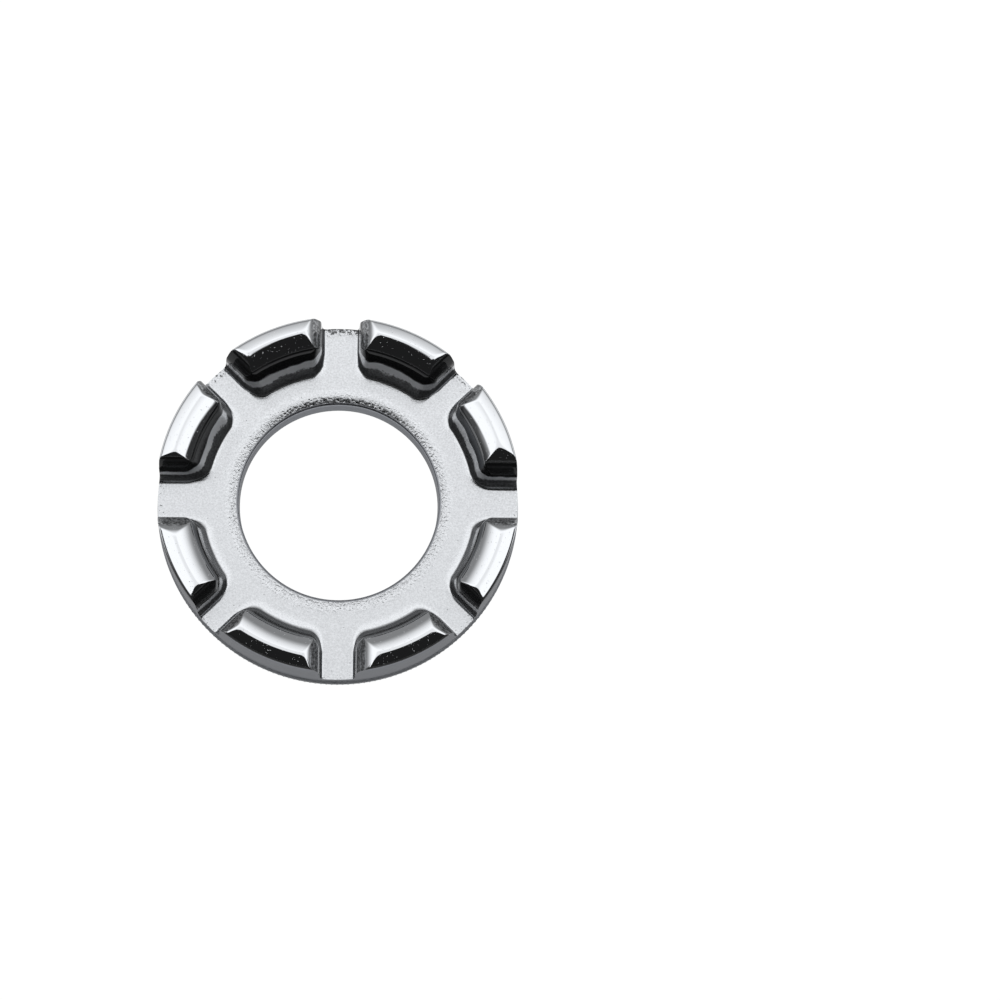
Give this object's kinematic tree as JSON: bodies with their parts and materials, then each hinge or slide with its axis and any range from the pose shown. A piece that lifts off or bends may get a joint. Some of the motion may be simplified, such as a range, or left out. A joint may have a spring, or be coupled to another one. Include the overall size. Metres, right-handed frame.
{
  "type": "spoke wrench",
  "caption": "Round cast spoke wrench: a flat ring with a large centre hole, and on one face ridged lugs with slots between them for nipples of several gauges.",
  "frame": {"origin": "centre of the numbered face, which the wrench lies on", "axes": "+Z along the axis of the centre hole, from the numbered face towards the lugs; +Y through the slot for 12 gauge nipples, +X through the slot for 11 gauge nipples"},
  "size_m": [0.04, 0.04, 0.0093],
  "materials": {
    "chrome_plate": "bright chrome plating: satin over the cast ring, mirror on the lug crowns, turned on the numbered face"
  },
  "bodies": {
    "root": {"wrench_ring": "chrome_plate"}
  },
  "joints": []
}
